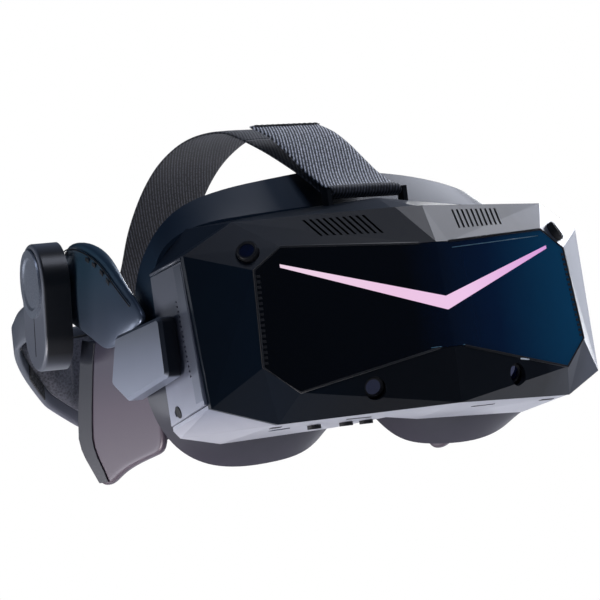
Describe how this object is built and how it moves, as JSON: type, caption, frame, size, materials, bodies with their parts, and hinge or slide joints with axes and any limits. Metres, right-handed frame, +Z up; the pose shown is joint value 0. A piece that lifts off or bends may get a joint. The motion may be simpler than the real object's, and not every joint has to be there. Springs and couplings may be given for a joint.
{
  "type": "vr headset",
  "caption": "Wide faceted VR visor with tilting side arms, sliding rear cradle with dial, off-ear swivelling headphones and a webbing top strap.",
  "frame": {"origin": "on the resting plane, under the centre of the whole headset's box", "axes": "+Z up, +Y from the front glass towards the back of the head, +X towards the wearer's left"},
  "size_m": [0.3164, 0.383, 0.2107],
  "materials": {
    "bezel_plastic": "fine moulded texture with a soft sheen",
    "front_glass": "gloss black smoked window",
    "status_light": "glowing diffuser, white to pink",
    "shell_plastic": "fine moulded texture",
    "pale_shell_plastic": "satin metallic paint on plastic",
    "cast_magnesium": "die cast, blasted",
    "bright_steel": "ground and polished",
    "circuit_board": "solder resist",
    "heat_sink_aluminium": "extruded",
    "black_plastic": "moulded",
    "lens_glass": "polished with a blue coating",
    "display_panel": "gloss panel",
    "cushion_fabric": "knitted cover on foam",
    "soft_rubber": "matt moulded rubber",
    "strap_webbing": "woven two-tone webbing",
    "block_plastic": "satin metallic paint on plastic",
    "arm_plastic": "satin moulded plastic",
    "wing_plastic": "satin metallic paint on plastic",
    "pod_plastic": "satin moulded plastic",
    "pod_cap_metal": "anodised, turned",
    "grille_steel": "blackened, perforated",
    "pinion_brass": "cut brass",
    "nylon_rack": "moulded nylon"
  },
  "bodies": {
    "visor": {"front_bezel": "bezel_plastic", "front_glass": "front_glass", "light_chevron": "status_light", "top_shell": "shell_plastic", "bottom_shell": "pale_shell_plastic", "side_panel_right": "pale_shell_plastic", "side_panel_left": "pale_shell_plastic", "chassis_frame": "cast_magnesium", "guide_rod": "bright_steel", "spacing_motor": "bright_steel", "main_board": "circuit_board", "heat_sink": "heat_sink_aluminium", "fan_housing": "black_plastic", "usb_socket": "bright_steel", "audio_jack": "black_plastic", "microphone": "black_plastic", "tracking_camera_barrels": "black_plastic", "tracking_camera_lenses": "lens_glass", "housing_screws": "bright_steel", "proximity_sensor": "black_plastic", "face_shroud": "shell_plastic", "face_cushion": "cushion_fabric", "nose_flap": "soft_rubber", "hinge_pins": "bright_steel", "hinge_brackets": "cast_magnesium", "strap_loop": "bright_steel", "strap_tail": "strap_webbing", "top_strap_front": "strap_webbing"},
    "lead_screw": {"lead_screw": "bright_steel"},
    "fan": {"fan_rotor": "black_plastic"},
    "power_button": {"power_button": "black_plastic"},
    "volume_up": {"volume_up_button": "black_plastic"},
    "volume_down": {"volume_down_button": "black_plastic"},
    "eye_right": {"lens_barrel_right": "black_plastic", "lens_right": "lens_glass", "display_right": "display_panel"},
    "eye_left": {"lens_barrel_left": "black_plastic", "lens_left": "lens_glass", "display_left": "display_panel"},
    "head_frame": {"hinge_blocks": "block_plastic", "side_arm_right": "arm_plastic", "side_arm_left": "arm_plastic", "side_wings": "wing_plastic", "wing_pads": "cushion_fabric", "headphone_hubs": "bright_steel", "top_strap_rear": "strap_webbing"},
    "cradle": {"cradle_shell": "arm_plastic", "cradle_pad": "cushion_fabric", "cradle_cover": "black_plastic", "strap_anchor": "black_plastic"},
    "dial": {"dial_pinion": "pinion_brass", "dial_knob": "soft_rubber"},
    "band_right": {"rack_right": "nylon_rack"},
    "band_left": {"rack_left": "nylon_rack"},
    "headphone_right": {"headphone_shell_right": "pod_plastic", "headphone_cap_right": "pod_cap_metal", "headphone_grille_right": "grille_steel"},
    "headphone_left": {"headphone_shell_left": "pod_plastic", "headphone_cap_left": "pod_cap_metal", "headphone_grille_left": "grille_steel"}
  },
  "joints": [
    {"name": "head_tilt", "type": "hinge", "parent": "visor", "child": "head_frame", "pos_m": [0, -0.1085, 0.068], "axis": [1, 0, 0], "range_deg": [-8, 15], "deforming": ["top_strap_front"]},
    {"name": "cradle_slide", "type": "slide", "parent": "head_frame", "child": "cradle", "axis": [0, 1, 0], "range_m": [-0.01, 0.01], "deforming": ["top_strap_rear"]},
    {"name": "dial_turn", "type": "hinge", "parent": "cradle", "child": "dial", "pos_m": [0, 0.1735, 0.078], "axis": [0, 1, 0], "range_deg": [-96, 96]},
    {"name": "band_left_slide", "type": "slide", "parent": "cradle", "child": "band_left", "axis": [1, 0, 0], "range_m": [-0.0101, 0.0101]},
    {"name": "band_right_slide", "type": "slide", "parent": "cradle", "child": "band_right", "axis": [-1, 0, 0], "range_m": [-0.0101, 0.0101]},
    {"name": "headphone_right_swivel", "type": "hinge", "parent": "head_frame", "child": "headphone_right", "pos_m": [-0.152, 0.0195, 0.1245], "axis": [-0.9748, 0.2233, 0], "range_deg": [-25, 60]},
    {"name": "headphone_left_swivel", "type": "hinge", "parent": "head_frame", "child": "headphone_left", "pos_m": [0.152, 0.0195, 0.1245], "axis": [-0.9748, -0.2233, 0], "range_deg": [-25, 60]},
    {"name": "spacing_screw_turn", "type": "hinge", "parent": "visor", "child": "lead_screw", "pos_m": [0, -0.1365, 0.054], "axis": [1, 0, 0], "range_deg": [-316, 316]},
    {"name": "eye_left_slide", "type": "slide", "parent": "visor", "child": "eye_left", "axis": [1, 0, 0], "range_m": [-0.0035, 0.0035]},
    {"name": "eye_right_slide", "type": "slide", "parent": "visor", "child": "eye_right", "axis": [-1, 0, 0], "range_m": [-0.00351, 0.00351]},
    {"name": "fan_spin", "type": "hinge", "parent": "visor", "child": "fan", "pos_m": [0, -0.155, 0.112], "axis": [0, 1, 0], "continuous": true},
    {"name": "power_button_press", "type": "slide", "parent": "visor", "child": "power_button", "axis": [0, 0, 1], "range_m": [0, 0.0012], "stiffness_N_per_m": 150, "springref_m": -0.001},
    {"name": "volume_up_press", "type": "slide", "parent": "visor", "child": "volume_up", "axis": [0, 0, 1], "range_m": [0, 0.0012], "stiffness_N_per_m": 150, "springref_m": -0.001},
    {"name": "volume_down_press", "type": "slide", "parent": "visor", "child": "volume_down", "axis": [0, 0, 1], "range_m": [0, 0.0012], "stiffness_N_per_m": 150, "springref_m": -0.001}
  ],
  "couplings": [
    {"joint": "dial_turn", "follows": "cradle_slide", "rad_per_m": 166.67},
    {"joint": "band_left_slide", "follows": "cradle_slide", "ratio": 1},
    {"joint": "band_right_slide", "follows": "cradle_slide", "ratio": 1},
    {"joint": "eye_right_slide", "follows": "eye_left_slide", "ratio": 1},
    {"joint": "spacing_screw_turn", "follows": "eye_left_slide", "rad_per_m": 1570.8}
  ]
}
